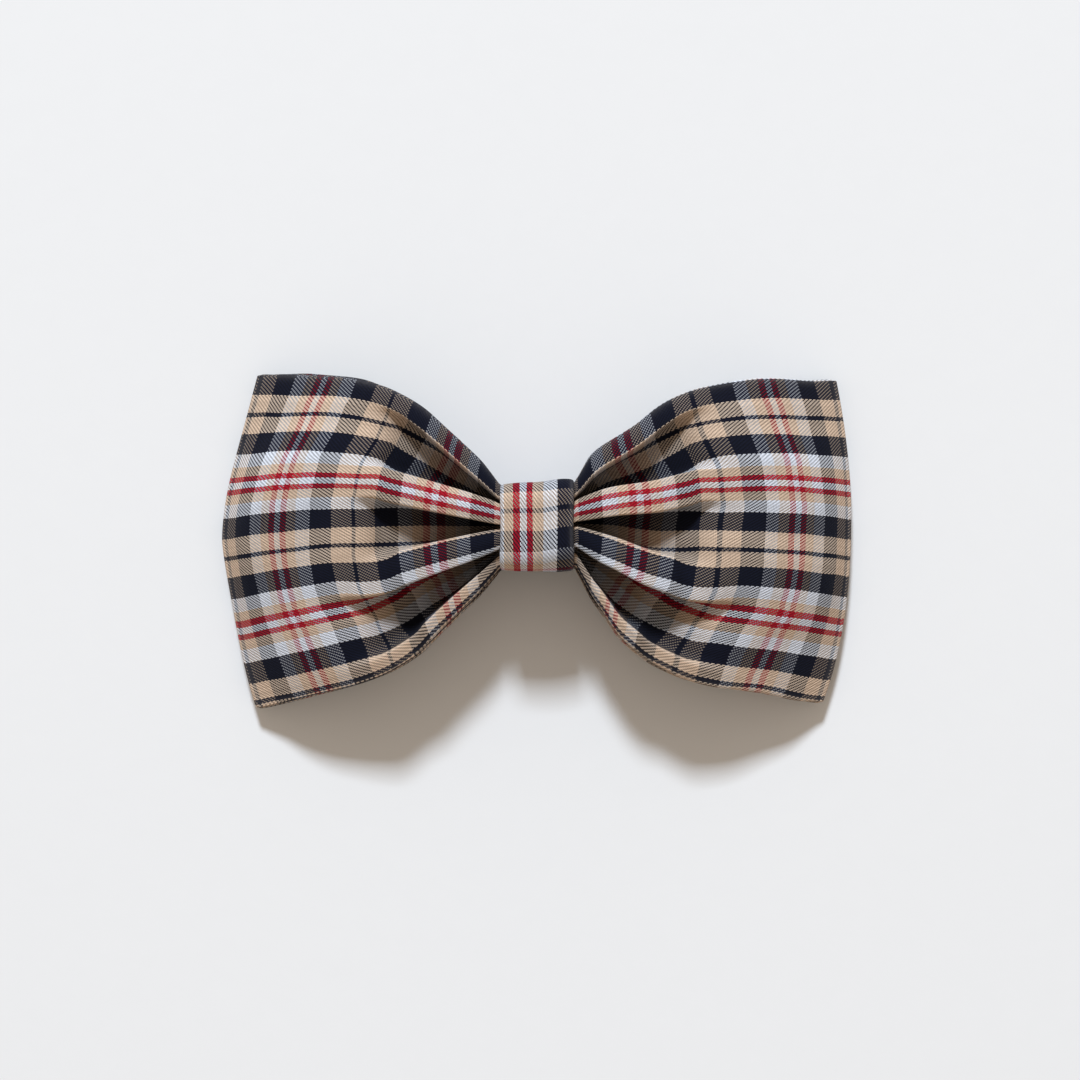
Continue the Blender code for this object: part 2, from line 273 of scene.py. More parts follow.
# Its loop's and its strip's rounding, as shares of the loop's height and the strip's
# thickness, with the steps in a corner and the points round the whole
LOOP_ROUNDING, LOOP_STEPS = 0.499, (14, 140)
EDGE_ROUNDING, STRIP_STEPS = 0.4, (3, 88)

# The table's grain in metres, and the light: its size in metres, power in watts, place and
# colour, with the strength and colour of what comes from all round
TABLE_GRAIN_SCALE, TABLE_GRAIN_DEPTH = 220.0, 0.00005
MIDDLE = (0.0, 0.0, 0.008)
WINDOW_SIZE, WINDOW_POWER = 0.75, 302.0
WINDOW_PLACE, WINDOW_COLOUR = (-0.47, 3.83, 3.22), (0.80, 0.893, 1.0)
ROOM_STRENGTH, ROOM_COLOUR = 0.46, (1.0, 0.86, 0.72, 1)
CAMERA_TARGET, SENSOR_WIDTH = (0.0005, 0.0, 0.008), 36.0


# Sizes and colours


def metres(name, description, default, precision=2):
    """A length in metres."""
    return FloatProperty(
        name=name, description=description, default=default, precision=precision, unit="LENGTH"
    )


def dye(name, description, default):
    """A colour."""
    return FloatVectorProperty(
        name=name, description=description, default=default, subtype="COLOR"
    )


class BowSettings(PropertyGroup):
    """The bow's cloth."""

    wall: metres("Cloth thickness", "Thickness of the doubled cloth", 0.0010)
    pinch: metres("Pinched half height", "Half the height of the cloth inside the band", 0.0062)
    ridge: metres("Ridge height", "Height of the pleats' tops at the band", 0.0182)
    tip_height: metres("Tip height", "Height of the creased tips above the table", 0.0028)
    crease: metres("Tip crease", "Radius of the pressed crease at the tips", 0.0007)
    softness: metres("Softness", "Height of the cloth's gentle waves", 0.0004)
    # The depth in a fold at which the cloth's painted shade is at its darkest
    painted_shade_depth: metres("Dark depth", "Depth at which a fold is at its darkest", 0.0060)
    steps_along: IntProperty(name="Steps along", description="Rows along a panel", default=100)
    steps_across: IntProperty(name="Steps across", description="Columns across it", default=200)


class PlaidSettings(PropertyGroup):
    """The plaid twill."""

    warp_pitch: metres("Warp spacing", "Distance between lengthwise threads", 0.00027, 5)
    weft_pitch: metres("Weft spacing", "Distance between crosswise threads", 0.000195, 6)
    tan: dye("Tan", "Ground colour", (0.84, 0.665, 0.52))
    navy: dye("Navy", "Dark bands", (0.007, 0.010, 0.028))
    white: dye("White", "Light bands", (0.90, 0.93, 1.00))
    red: dye("Red", "Fine lines", (0.56, 0.012, 0.035))


class BandSettings(PropertyGroup):
    """The centre band."""

    wall: metres("Band thickness", "Thickness of the folded band", 0.0012)
    front_radius: metres("Front rounding", "How softly the band turns to its front", 0.0040)
    back_radius: metres("Back rounding", "How softly the band turns at the back", 0.0024)
    tilt: metres("Pull", "How far the band's right side is pulled up", 0.0009)


class LoopSettings(PropertyGroup):
    """The elastic collar loop."""

    wall: metres("Elastic thickness", "Thickness of the elastic", 0.0010)
    colour: dye("Elastic", "Colour of the elastic", (0.012, 0.012, 0.014))


class StageSettings(PropertyGroup):
    """The table, lights and camera."""

    table: dye("Table", "Colour of the table", (0.80, 0.80, 0.80))
    view_width: metres("View width", "Width that the camera takes in at the bow", 0.1857)
    lens: FloatProperty(name="Lens", description="Focal length in millimetres", default=85.0)
    elevation: FloatProperty(
        name="Elevation",
        description="How high the camera looks from",
        default=math.radians(88.0),
        subtype="ANGLE",
    )


SETTINGS = (
    ("bow_cloth_settings", BowSettings),
    ("bow_plaid_settings", PlaidSettings),
    ("bow_band_settings", BandSettings),
    ("bow_loop_settings", LoopSettings),
    ("bow_stage_settings", StageSettings),
)


# Curves and cloth


def column(table, names, wanted):
    """One named column of a table."""
    return np.array([row[names.index(wanted)] for row in table])


def eased(table, names, key, wanted, at):
    """A table's column read at any place, on a smooth curve that doesn't overshoot."""
    x, y = column(table, names, key), column(table, names, wanted)
    slope = np.diff(y) / np.diff(x)
    rise = np.concatenate([slope[:1], np.zeros(len(x) - 2), slope[-1:]])
    turning = slope[:-1] * slope[1:] <= 0
    mean = 2 * slope[:-1] * slope[1:] / np.where(turning, 1, slope[:-1] + slope[1:])
    rise[1:-1] = np.where(turning, 0, mean)
    row = np.clip(np.searchsorted(x, at, side="right") - 1, 0, len(x) - 2)
    span = x[row + 1] - x[row]
    t = (at - x[row]) / span
    return (
        y[row] * (1 + 2 * t) * (1 - t) ** 2
        + rise[row] * span * t * (1 - t) ** 2
        + y[row + 1] * t * t * (3 - 2 * t)
        + rise[row + 1] * span * t * t * (t - 1)
    )


def step(low, high, value):
    """A smooth step from 0 at low to 1 at high."""
    t = np.clip((value - low) / (high - low), 0, 1)
    return t * t * (3 - 2 * t)


def waves(seed, count, along, across, shortest, longest):
    """Gentle seeded waves over two coordinates, about -1 to 1."""
    random = np.random.default_rng(seed)
    total = np.zeros(np.broadcast(along, across).shape)
    for _ in range(count):
        length = random.uniform(shortest, longest)
        heading = random.uniform(0, math.pi)
        phase = random.uniform(0, 2 * math.pi)
        k = 2 * math.pi / length
        total += np.sin(k * (math.cos(heading) * along + math.sin(heading) * across) + phase)
    return total / math.sqrt(count)


def half_section(walls, along, crown, across):
    """Half of each pleated section: y and z for every row at each place across, with the
    cloth's half width as 1."""
    fine = np.linspace(0, 1, SECTION_STEPS)[None, :]
    along = along[:, None]
    angle = -crown[:, None] * fine
    lips = []
    for lip, drift, falls, width, steep, runs_out in walls:
        spent = np.clip(along / runs_out, 0, 1)
        left = 1 - spent
        wide = width * left
        steep = math.radians(steep) * (1 - SLUMP * step(SLUMP_FROM, 1.0, spent))
        edge = lip + drift * along
        sharp = LIP_TIGHT + LIP_EASES * spent**2
        soft = FOOT_TIGHT + FOOT_EASES * spent
        full = np.clip(wide / (sharp + soft), 0, 1)
        foot = edge + falls * wide
        past_lip = step(edge - sharp, edge + sharp, fine)
        past_foot = step(foot - soft, foot + soft, fine)
        body = past_foot * (1 - past_lip) if falls < 0 else past_lip * (1 - past_foot)
        angle = angle - falls * steep * full * body
        lips.append((edge, left))
    # The strips between two lips are a little crowned
    inner, outer = lips[0], lips[1]
    middle = (inner[0] + outer[0]) / 2
    half = np.maximum((outer[0] - inner[0]) / 2, STRIP_LEAST)
    place = np.clip((fine - middle) / half, -1, 1)
    crowned = -math.radians(STRIP_CROWN) * place * (1 - place**2)
    angle = angle + crowned * np.minimum(1, STRIP_FADE * np.maximum(inner[1], outer[1]))
    last = lips[2]
    angle = angle - math.radians(EDGE_FALL) * last[1] * step(last[0] + EDGE_FROM, EDGE_TO, fine)
    width = fine[0, 1] * (np.cos(angle[:, 1:]) + np.cos(angle[:, :-1])) / 2
    height = fine[0, 1] * (np.sin(angle[:, 1:]) + np.sin(angle[:, :-1])) / 2
    y = np.hstack([np.zeros((len(width), 1)), np.cumsum(width, axis=1)])
    z = np.hstack([np.zeros((len(width), 1)), np.cumsum(height, axis=1)])
    ys = np.array([np.interp(across, fine[0], row) / row[-1] for row in y])
    zs = np.array([np.interp(across, fine[0], row) for row in z])
    return ys, zs


def pleated(upper, lower, along, crown, across):
    """Whole sections from the lower edge (-1) to the upper edge (1)."""
    up = across >= 0
    y = np.zeros((len(along), len(across)))
    z = np.zeros_like(y)
    y[:, up], z[:, up] = half_section(upper, along, crown, across[up])
    below = -across[~up][::-1]
    y_low, z_low = half_section(lower, along, crown, below)
    y[:, ~up], z[:, ~up] = -y_low[:, ::-1], z_low[:, ::-1]
    return y, z


def places_across(count):
    """Places across the cloth (-1 to 1), closer together where the pleats' lips are."""
    fine = np.linspace(-1, 1, 2001)
    density = np.ones(len(fine))
    for half, walls in ((1, UPPER_WALLS), (-1, LOWER_WALLS)):
        for wall in walls:
            lip = half * (wall[0] + CROWDED_AT * wall[1])
            density += CROWDING * np.exp(-(((fine - lip) / CROWDED_SPAN) ** 2))
    run = np.concatenate([[0], np.cumsum((density[1:] + density[:-1]) / 2)])
    return np.interp(np.linspace(0, run[-1], count), run, fine)


def wing_panels(cloth, side, along, across):
    """The outer faces of a wing's front and back panels, as grids of points."""
    tip = dict(zip(TIP_COLUMNS, [row for row in TIPS if row[0] == side][0]))
    half_bow = float(BOW_HIGH[1]) * tip["height"] - cloth.wall / 2
    start = float(BAND_HIGH[0] - BAND_LOW[0]) / 2 + BAND_CLEARANCE
    reach_full = float(BOW_HIGH[0]) - side * MIDDLE_SHIFT
    back_level = float(BAND_LOW[2]) + BACK_RISE

    def at(name):
        return eased(WING_ROWS, WING_COLUMNS, "along", name, along)

    def right(name):
        return MM * eased(RIGHT_ROWS, RIGHT_COLUMNS, "along", name, along)

    def over(name):
        return step(*STRETCHES[name], along)

    half_height = cloth.pinch + at("spread") * (half_bow - cloth.pinch)
    centre = at("rise") * MIDDLE_RISE
    if side > 0:
        half_height = half_height + right("taller")
        centre = centre + right("higher")
    low_ridge = cloth.tip_height + cloth.crease
    ridge = low_ridge + at("ridge") * (cloth.ridge - low_ridge)
    y, z = pleated(UPPER_WALLS, LOWER_WALLS, along, np.radians(at("crown")), across)
    front = np.zeros((len(along), len(across), 3))
    front[:, :, 1] = centre[:, None] + y * half_height[:, None]
    deep = at("depth")[:, None] * half_bow
    front[:, :, 2] = ridge[:, None] + (z - z.max(axis=1)[:, None]) * deep
    back = front.copy()
    z = pleated(BACK_WALLS, BACK_WALLS, along, np.radians(-at("back_crown")), across)[1]
    to_tip = over("back_to_tip")
    level = at("floor_gap") * back_level + to_tip * (cloth.tip_height - cloth.crease)
    back[:, :, 2] = level[:, None] + (z - z.min(axis=1)[:, None]) * half_bow
    # Near the band the back panel stays under the lowest fold of the front
    lowest = front[:, :, 2].min(axis=1) - cloth.wall - PANEL_CLEARANCE
    ceiling = np.where(along < CEILING_TO, lowest, 1)
    back[:, :, 2] = np.minimum(back[:, :, 2], ceiling[:, None])

    above = np.maximum(0, across - tip["furthest"]) / (1 - tip["furthest"])
    below = np.maximum(0, tip["furthest"] - across) / (1 + tip["furthest"])
    corner = tip["up_back"] * above ** tip["up_round"]
    corner = corner + tip["low_back"] * below ** tip["low_round"]
    reach = reach_full - cloth.crease - start - corner
    length = reach_full - start
    stride = np.diff(along)[:, None] * length
    moved = np.diff(front[:, :, 1], axis=0) ** 2 + np.diff(front[:, :, 2], axis=0) ** 2
    forward = np.sqrt(np.maximum(stride**2 - moved, (LEAST_FORWARD * stride) ** 2))
    share = np.vstack([np.zeros(len(across)), np.cumsum(forward, axis=0)])
    front[:, :, 0] = back[:, :, 0] = start + reach * share / share[-1]

    # Soft waves, small puckers that run out of the pinch, and a little slack at the edges
    a = along[:, None] * length
    b = across[None, :] * half_bow
    seed = WING_SEEDS[side]

    def wave(name, x, y):
        _, seed_step, count, shortest, longest = [row for row in WAVES if row[0] == name][0]
        return waves(seed + seed_step, count, x, y, shortest, longest)

    loose = over("loose")[:, None]
    near = (over("puckers_start") * (1 - over("puckers_end")))[:, None]
    random = np.random.default_rng(seed + PUCKER_STEP)
    pucker = np.zeros_like(a * b)
    for _ in range(PUCKERS):
        place = random.uniform(-PUCKER_PLACE, PUCKER_PLACE)
        width = random.uniform(*PUCKER_WIDTHS)
        drift = random.uniform(-PUCKER_DRIFT, PUCKER_DRIFT)
        depth = random.uniform(-1.0, 1.0)
        centre_line = place + drift * along[:, None]
        pucker += depth * np.exp(-(((across[None, :] - centre_line) / width) ** 2))
    fade_tip = 1 - over("waves_end")[:, None]
    hills = wave("soft", a, b) + SMALL_SHARE * wave("small", a, b)
    front[:, :, 2] += cloth.softness * fade_tip * (loose * hills)
    front[:, :, 2] += PUCKER_HEIGHT * near * pucker
    lift = np.maximum(0, wave("lift", a, b))
    back[:, :, 2] += cloth.softness * fade_tip * loose * lift
    edge = np.abs(across)[None, :] ** EDGE_ONLY
    front[:, :, 1] += SLACK * loose * edge * wave("slack", a, 0 * b) * fade_tip
    ripple = wave("ripple", 0 * a, b)
    bend = RIPPLE * over("tip_bends")[:, None] * (ripple - ripple.max())
    front[:, :, 0] += bend
    back[:, :, 0] += bend
    if side < 0:
        sliver = over("sliver_starts") * (1 - over("sliver_ends"))
        back[:, :, 1] += SLIVER * sliver[:, None] * step(SLIVER_FROM, 1.0, across)[None, :]
    back[:, :, 2] = np.maximum(back[:, :, 2], 0)
    # How deep each place lies between the ridges on both sides of it; the cloth's colour is
    # darkened with this depth, as painted shade in the folds
    crest = np.maximum.accumulate(front[:, :, 2], axis=1)
    other = np.maximum.accumulate(front[:, ::-1, 2], axis=1)[:, ::-1]
    sunk = np.minimum(crest, other) - front[:, :, 2]
    return front, back, length, np.clip(sunk / cloth.painted_shade_depth, 0, 1)


def grid_normals(grid):
    """Unit normals of a grid of points, outwards from a wing's loop."""
    along = np.gradient(grid, axis=0)
    across = np.gradient(grid, axis=1)
    normal = np.cross(along, across)
    return normal / np.maximum(np.linalg.norm(normal, axis=2, keepdims=True), 1e-12)


def mesh_object(name, points, faces, uv=None, attributes=()):
    """A mesh object from arrays of points and four-sided faces."""
    mesh = bpy.data.meshes.new(name)
    mesh.from_pydata([tuple(p) for p in points.tolist()], [], [tuple(f) for f in faces])
    if uv is not None:
        layer = mesh.uv_layers.new(name="cloth")
        corners = np.array([loop.vertex_index for loop in mesh.loops])
        layer.data.foreach_set("uv", uv[corners].astype(np.float32).ravel())
    for title, values in attributes:
        made = mesh.attributes.new(name=title, type="FLOAT", domain="POINT")
        made.data.foreach_set("value", values.astype(np.float32))
    mesh.shade_smooth()
    obj = bpy.data.objects.new(name, mesh)
    bpy.context.scene.collection.objects.link(obj)
    return obj


def walled(name, outer, wall, uv, wear, sunk, closed):
    """A sheet with a wall and round edges from a grid of its outer face. Its rows run along
    the cloth and its columns across it. closed joins the last row to the first."""
    rows = len(outer)
    if closed:
        looped = np.concatenate([outer[-1:], outer, outer[:1]])
        normal = grid_normals(looped)[1:-1]
    else:
        normal = grid_normals(outer)
    wall = np.broadcast_to(wall, (rows,))[:, None]
    inner = outer - wall[:, :, None] * normal
    turns = np.radians((30, 60, 90, 120, 150))
    rims = []
    for edge, towards in ((-1, -2), (0, 1)):
        outward = outer[:, edge] - outer[:, towards]
        outward /= np.linalg.norm(outward, axis=1, keepdims=True)
        middle = (outer[:, edge] + inner[:, edge]) / 2
        half = (outer[:, edge] - inner[:, edge]) / 2
        reach = np.linalg.norm(half, axis=1, keepdims=True)
        strip = [middle + half * math.cos(t) + outward * reach * math.sin(t) for t in turns]
        rims.append(np.stack(strip if edge == -1 else strip[::-1], axis=1))
    ring = np.concatenate([outer, rims[0], inner[:, ::-1], rims[1]], axis=1)
    # The cloth's coordinates go on round the rims, which are the most worn places
    past = (np.arange(len(turns)) + 1) / (len(turns) + 1)
    drop = wall[:, :, None] * math.pi / 2 * np.array([0, 1]) * past[None, :, None]
    rim_high, rim_low = uv[:, -1:] + drop, (uv[:, :1] - drop)[:, ::-1]
    ring_uv = np.concatenate([uv, rim_high, uv[:, ::-1], rim_low], axis=1)
    worn = np.ones((rows, len(turns)))
    ring_wear = np.concatenate([wear, worn, wear[:, ::-1], worn], axis=1)
    # The share of depth in the folds, which sets the cloth's painted shade, lies on the outer face
    # only
    ring_fold_shade = np.concatenate([sunk, 0 * worn, 0 * sunk, 0 * worn], axis=1)
    count = ring.shape[1]
    faces = []
    for i in range(rows if closed else rows - 1):
        one, other = i * count, ((i + 1) % rows) * count
        for j in range(count):
            k = (j + 1) % count
            faces.append((one + j, other + j, other + k, one + k))
    if not closed:
        faces.append(tuple(range(count)))
        faces.append(tuple((rows - 1) * count + j for j in range(count))[::-1])
    return mesh_object(
        name,
        ring.reshape(-1, 3),
        faces,
        ring_uv.reshape(-1, 2),
        (("wear", ring_wear.reshape(-1)), ("sunk", ring_fold_shade.reshape(-1))),
    )


def sew_wing(cloth, side):
    """One wing: front panel, creased tip and back panel in one strip of cloth."""
    name = "right_wing_cloth" if side > 0 else "left_wing_cloth"
    along = np.linspace(0, 1, cloth.steps_along) ** ROW_CROWDING
    across = places_across(cloth.steps_across)
    front, back, length, in_folds = wing_panels(cloth, side, along, across)
    inside = np.linspace(0, 1, CORE_ROWS + 1)[:-1]
    start = front[0, :, 0].min()
    # Inside the band the cloth is squeezed to the pinch's height
    low, high = front[0, 0, 1], front[0, -1, 1]
    squeeze = 2 * cloth.pinch / (high - low)
    squeezed = MIDDLE_RISE + (front[0, :, 1] - (low + high) / 2) * squeeze
    core_front, core_back = [], []
    for share in inside:
        for rows, source in ((core_front, front), (core_back, back)):
            row = source[0].copy()
            row[:, 0] = WING_CLEARANCE + (start - WING_CLEARANCE) * share
            row[:, 1] = squeezed
            rows.append(row)
    nose = []
    middle = (front[-1] + back[-1]) / 2
    half = (front[-1] - back[-1]) / 2
    for turn in np.radians((60, 30, 0, -30, -60)):
        row = middle + half * math.sin(turn)
        row[:, 0] += cloth.crease * math.cos(turn)
        nose.append(row)
    outer = np.array([*core_front, *front, *nose, *back[::-1], *core_back[::-1]])
    u_core = start * inside
    u_front = start + along * length
    u_tip = u_front[-1] + cloth.crease * math.pi * (np.arange(len(nose)) + 1) / (len(nose) + 1)
    u_back = u_tip[-1] + cloth.crease * 0.5 + (1 - along[::-1]) * length
    u_end = u_back[-1] + start * (1 - inside[::-1])
    u = np.concatenate([u_core, u_front, u_tip, u_back, u_end])
    tip_at = u_front[-1]
    wall = cloth.wall * (1 - TIP_THINNER * np.exp(-(((u - tip_at) / TIP_THIN_SPAN) ** 2)))
    knot = np.minimum(u, u[-1] - u)
    wall *= CORE_WALL + (1 - CORE_WALL) * step(start * CORE_BEFORE, start + CORE_SPAN, knot)
    uv = np.zeros((len(u), len(across), 2))
    uv[:, :, 0] = side * u[:, None]
    uv[:, :, 1] = across[None, :] * float(BOW_HIGH[1])
    wear = np.exp(-(((u[:, None] - tip_at) / TIP_WEAR) ** 2))
    wear = np.clip(wear + np.abs(across[None, :]) ** EDGE_WEAR, 0, 1)
    # How deep the front lies in its folds, which sets the painted shade of its colour
    sunk = np.zeros_like(wear)
    first = len(inside)
    sunk[:first] = in_folds[0]
    sunk[first : first + len(along)] = in_folds
    outer[:, :, 0] = MIDDLE_SHIFT + side * outer[:, :, 0]
    if side < 0:
        outer, uv, wear, sunk = outer[:, ::-1], uv[:, ::-1], wear[:, ::-1], sunk[:, ::-1]
    return walled(name, outer, wall, uv, wear, sunk, closed=False)


def ring_path(low_y, high_y, low_z, high_z, front_radius, back_radius, count):
    """Points evenly spaced round an upright loop with soft corners, with outward normals and
    the length so far, starting from the middle of its back and going up its front."""
    corners = (
        (low_y + back_radius, low_z + back_radius, back_radius, 270, 180),
        (low_y + front_radius, high_z - front_radius, front_radius, 180, 90),
        (high_y - front_radius, high_z - front_radius, front_radius, 90, 0),
        (high_y - back_radius, low_z + back_radius, back_radius, 0, -90),
    )
    points = [((low_y + high_y) / 2, low_z)]
    for y, z, radius, start, end in corners:
        for turn in np.radians(np.linspace(start, end, 40)):
            points.append((y + radius * math.cos(turn), z + radius * math.sin(turn)))
    points.append(points[0])
    points = np.array(points)
    run = np.concatenate([[0], np.cumsum(np.linalg.norm(np.diff(points, axis=0), axis=1))])
    s = np.linspace(0, run[-1], count + 1)[:-1]
    path = np.stack([np.interp(s, run, points[:, 0]), np.interp(s, run, points[:, 1])], axis=1)
    tangent = np.roll(path, -1, axis=0) - np.roll(path, 1, axis=0)
    tangent /= np.linalg.norm(tangent, axis=1, keepdims=True)
    normal = np.stack([-tangent[:, 1], tangent[:, 0]], axis=1)
    return path, normal, s, run[-1]


# Finishes


class Tree:
    """Short names for building a material's nodes."""

    def __init__(self, name):
        self.material = bpy.data.materials.new(name)
        self.material.use_nodes = True
        self.nodes = self.material.node_tree.nodes
        self.links = self.material.node_tree.links
        self.surface = self.nodes["Principled BSDF"]

    def join(self, value, socket):
        if isinstance(value, bpy.types.NodeSocket):
            self.links.new(value, socket)
        else:
            socket.default_value = value

    def math(self, operation, *values):
        node = self.nodes.new("ShaderNodeMath")
        node.operation = operation
        for k, value in enumerate(values):
            self.join(value, node.inputs[k])
        return node.outputs[0]

    def mix(self, share, one, other, blend="MIX"):
        node = self.nodes.new("ShaderNodeMix")
        node.data_type = "RGBA"
        node.blend_type = blend
        self.join(share, node.inputs["Factor"])
        self.join(one, [s for s in node.inputs if s.name == "A" and s.type == "RGBA"][0])
        self.join(other, [s for s in node.inputs if s.name == "B" and s.type == "RGBA"][0])
        return [s for s in node.outputs if s.type == "RGBA"][0]

    def noise(self, vector, scale, detail=2.0, roughness=0.5):
        node = self.nodes.new("ShaderNodeTexNoise")
        self.join(vector, node.inputs["Vector"])
        node.inputs["Scale"].default_value = scale
        node.inputs["Detail"].default_value = detail
        node.inputs["Roughness"].default_value = roughness
        return node.outputs["Fac"]

    def random(self, value, offset):
        node = self.nodes.new("ShaderNodeTexWhiteNoise")
        node.noise_dimensions = "1D"
        self.join(self.math("ADD", value, offset), node.inputs["W"])
        return node.outputs["Value"]

    def add(self, first, *others):
        for other in others:
            first = self.math("ADD", first, other)
        return first

    def times(self, first, *others):
        for other in others:
            first = self.math("MULTIPLY", first, other)
        return first

    def attribute(self, name):
        node = self.nodes.new("ShaderNodeAttribute")
        node.attribute_name = name
        return node.outputs["Fac"]

    def vector(self, x, y, z):
        node = self.nodes.new("ShaderNodeCombineXYZ")
        for socket, value in zip(node.inputs, (x, y, z)):
            self.join(value, socket)
        return node.outputs[0]

    def split(self, vector):
        node = self.nodes.new("ShaderNodeSeparateXYZ")
        self.join(vector, node.inputs[0])
        return node.outputs

    def steps(self, value, stops):
        """Bands of flat colour, one for each (start, colour)."""
        node = self.nodes.new("ShaderNodeValToRGB")
        ramp = node.color_ramp
        ramp.interpolation = "CONSTANT"
        while len(ramp.elements) < len(stops):
            ramp.elements.new(0.5)
        for element, (start, colour) in zip(ramp.elements, stops):
            element.position = start
            element.color = (*colour, 1)
        self.join(value, node.inputs["Fac"])
        return node.outputs["Color"]

    def bump(self, height, distance, strength=1.0, normal=None):
        node = self.nodes.new("ShaderNodeBump")
        node.inputs["Strength"].default_value = strength
        node.inputs["Distance"].default_value = distance
        self.join(height, node.inputs["Height"])
        if normal is not None:
            self.join(normal, node.inputs["Normal"])
        return node.outputs["Normal"]


def plaid_twill(piece, plaid):
    """Yarn-dyed twill on the piece's own cloth coordinates, in metres: thread by thread, two
    threads over and one under, with each direction's threads coloured by the plaid."""
    lay = dict(zip(LAY_COLUMNS, [row for row in LAYS if row[0] == piece][0]))
    tree = Tree(piece + "_plaid_twill")
    uv = tree.nodes.new("ShaderNodeUVMap")
    uv.uv_map = "cloth"
    cloth = uv.outputs["UV"]
    u, v = tree.split(cloth)[:2]
    sway = tree.noise(cloth, SWAY_SCALE, 2.0)
    sway = tree.times(tree.math("SUBTRACT", sway, 0.5), SWAY)

    def count_threads(place, shift, pitch):
        """Threads so far, the thread's number and the place across it."""
        count = tree.math("DIVIDE", tree.add(place, sway, shift * MM), pitch)
        return count, tree.math("FLOOR", count), tree.math("FRACT", count)

    tu, warp_number, fu = count_threads(u, lay["along"], plaid.warp_pitch)
    tv, weft_number, fv = count_threads(v, lay["across"], plaid.weft_pitch)

    widths = [row[1] * MM for row in PLAID]
    repeat = sum(widths)
    stops, start = [], 0.0
    for (colour, _), width in zip(PLAID, widths):
        stops.append((start / repeat, tuple(getattr(plaid, colour))))
        start += width

    def stripe(number, pitch):
        place = tree.times(tree.add(number, 0.5), pitch / repeat)
        return tree.steps(tree.math("FRACT", place), stops)

    warp, weft = stripe(warp_number, plaid.warp_pitch), stripe(weft_number, plaid.weft_pitch)
    diagonal = tree.add(warp_number, tree.times(weft_number, lay["slant"]))
    phase = tree.math("FLOORED_MODULO", diagonal, 3.0)
    weft_up = tree.math("GREATER_THAN", phase, 0.5)
    # A little of the thread beneath shows through the one on top
    beneath = tree.mix(SHOWS_THROUGH, (1.0, 1.0, 1.0, 1.0), tree.mix(weft_up, weft, warp))
    top = tree.mix(1.0, tree.mix(weft_up, warp, weft), beneath, "MULTIPLY")

    def either(one, other):
        """one where the warp is on top, and other where the weft is."""
        return tree.add(one, tree.times(tree.math("SUBTRACT", other, one), weft_up))

    # Round threads: high along the middle, low at both sides and where they dive under. The
    # height shapes the relief and sets the painted shade between the threads
    def hump(value):
        twice = tree.math("SUBTRACT", tree.times(value, 2.0), 1.0)
        return tree.math("SUBTRACT", 1.0, tree.times(twice, twice))

    over_two = tree.math("DIVIDE", tree.add(tree.math("SUBTRACT", phase, 1.0), fu), 2.0)
    weft_height = tree.times(hump(fv), tree.math("POWER", hump(over_two), WEFT_END))
    warp_height = tree.times(hump(fu), tree.math("POWER", hump(fv), WARP_END), WARP_HEIGHT)
    height = tree.math("MAXIMUM", either(warp_height, weft_height), 0.0)

    # Each thread is a little lighter or darker than its neighbours, and hairy
    warp_seed, weft_seed = THREAD_SEEDS
    fine, long = FIBRE_FINE, FIBRE_LONG
    weft_hair = tree.vector(tree.times(tu, long), tree.times(tv, fine), 0.0)
    warp_hair = tree.vector(tree.times(tu, fine), tree.times(tv, long), 4.0)
    fibre = either(tree.noise(warp_hair, 1.0), tree.noise(weft_hair, 1.0))
    causes = {
        "thread": either(tree.random(warp_number, warp_seed), tree.random(weft_number, weft_seed)),
        "fibre": fibre,
        "patch": tree.noise(cloth, PATCH_SCALE, 3.0),
        # Threads that lie low are painted darker: painted shade between the threads
        "painted_gap_shade": tree.math("SQRT", height),
        # The cloth deep in a fold is painted darker: painted shade
        "fold": tree.attribute("sunk"),
    }
    shades = [tree.add(least, tree.times(causes[cause], span)) for cause, least, span in SHADES]
    bright = tree.times(*shades)
    colour = tree.mix(1.0, top, tree.vector(bright, bright, bright), "MULTIPLY")

    # Light fuzz on the threads, a little more on worn edges and creases
    fuzz = tree.noise(tree.vector(tu, tv, 2.0), FUZZ_SCALE, 3.0, 0.7)
    rubbed = tree.times(tree.attribute("wear"), tree.times(fuzz, FUZZ_WORN))
    rubbed = tree.add(rubbed, tree.times(fuzz, FUZZ_ALL))
    tree.join(tree.mix(rubbed, colour, FUZZ_COLOUR), tree.surface.inputs["Base Color"])
    rough = tree.add(0.78, tree.times(fibre, 0.20))
    tree.join(rough, tree.surface.inputs["Roughness"])
    tree.surface.inputs["Specular IOR Level"].default_value = 0.10
    tree.surface.inputs["Sheen Weight"].default_value = 0.02
    tree.surface.inputs["Sheen Roughness"].default_value = 0.45
    normal = tree.bump(tree.noise(cloth, GRAIN_SCALE, 3.0), GRAIN_DEPTH, 0.5)
    hairy = tree.add(height, tree.times(fibre, HAIRINESS))
    normal = tree.bump(hairy, THREAD_DEPTH, 0.9, normal)
    tree.join(normal, tree.surface.inputs["Normal"])
    return tree.material


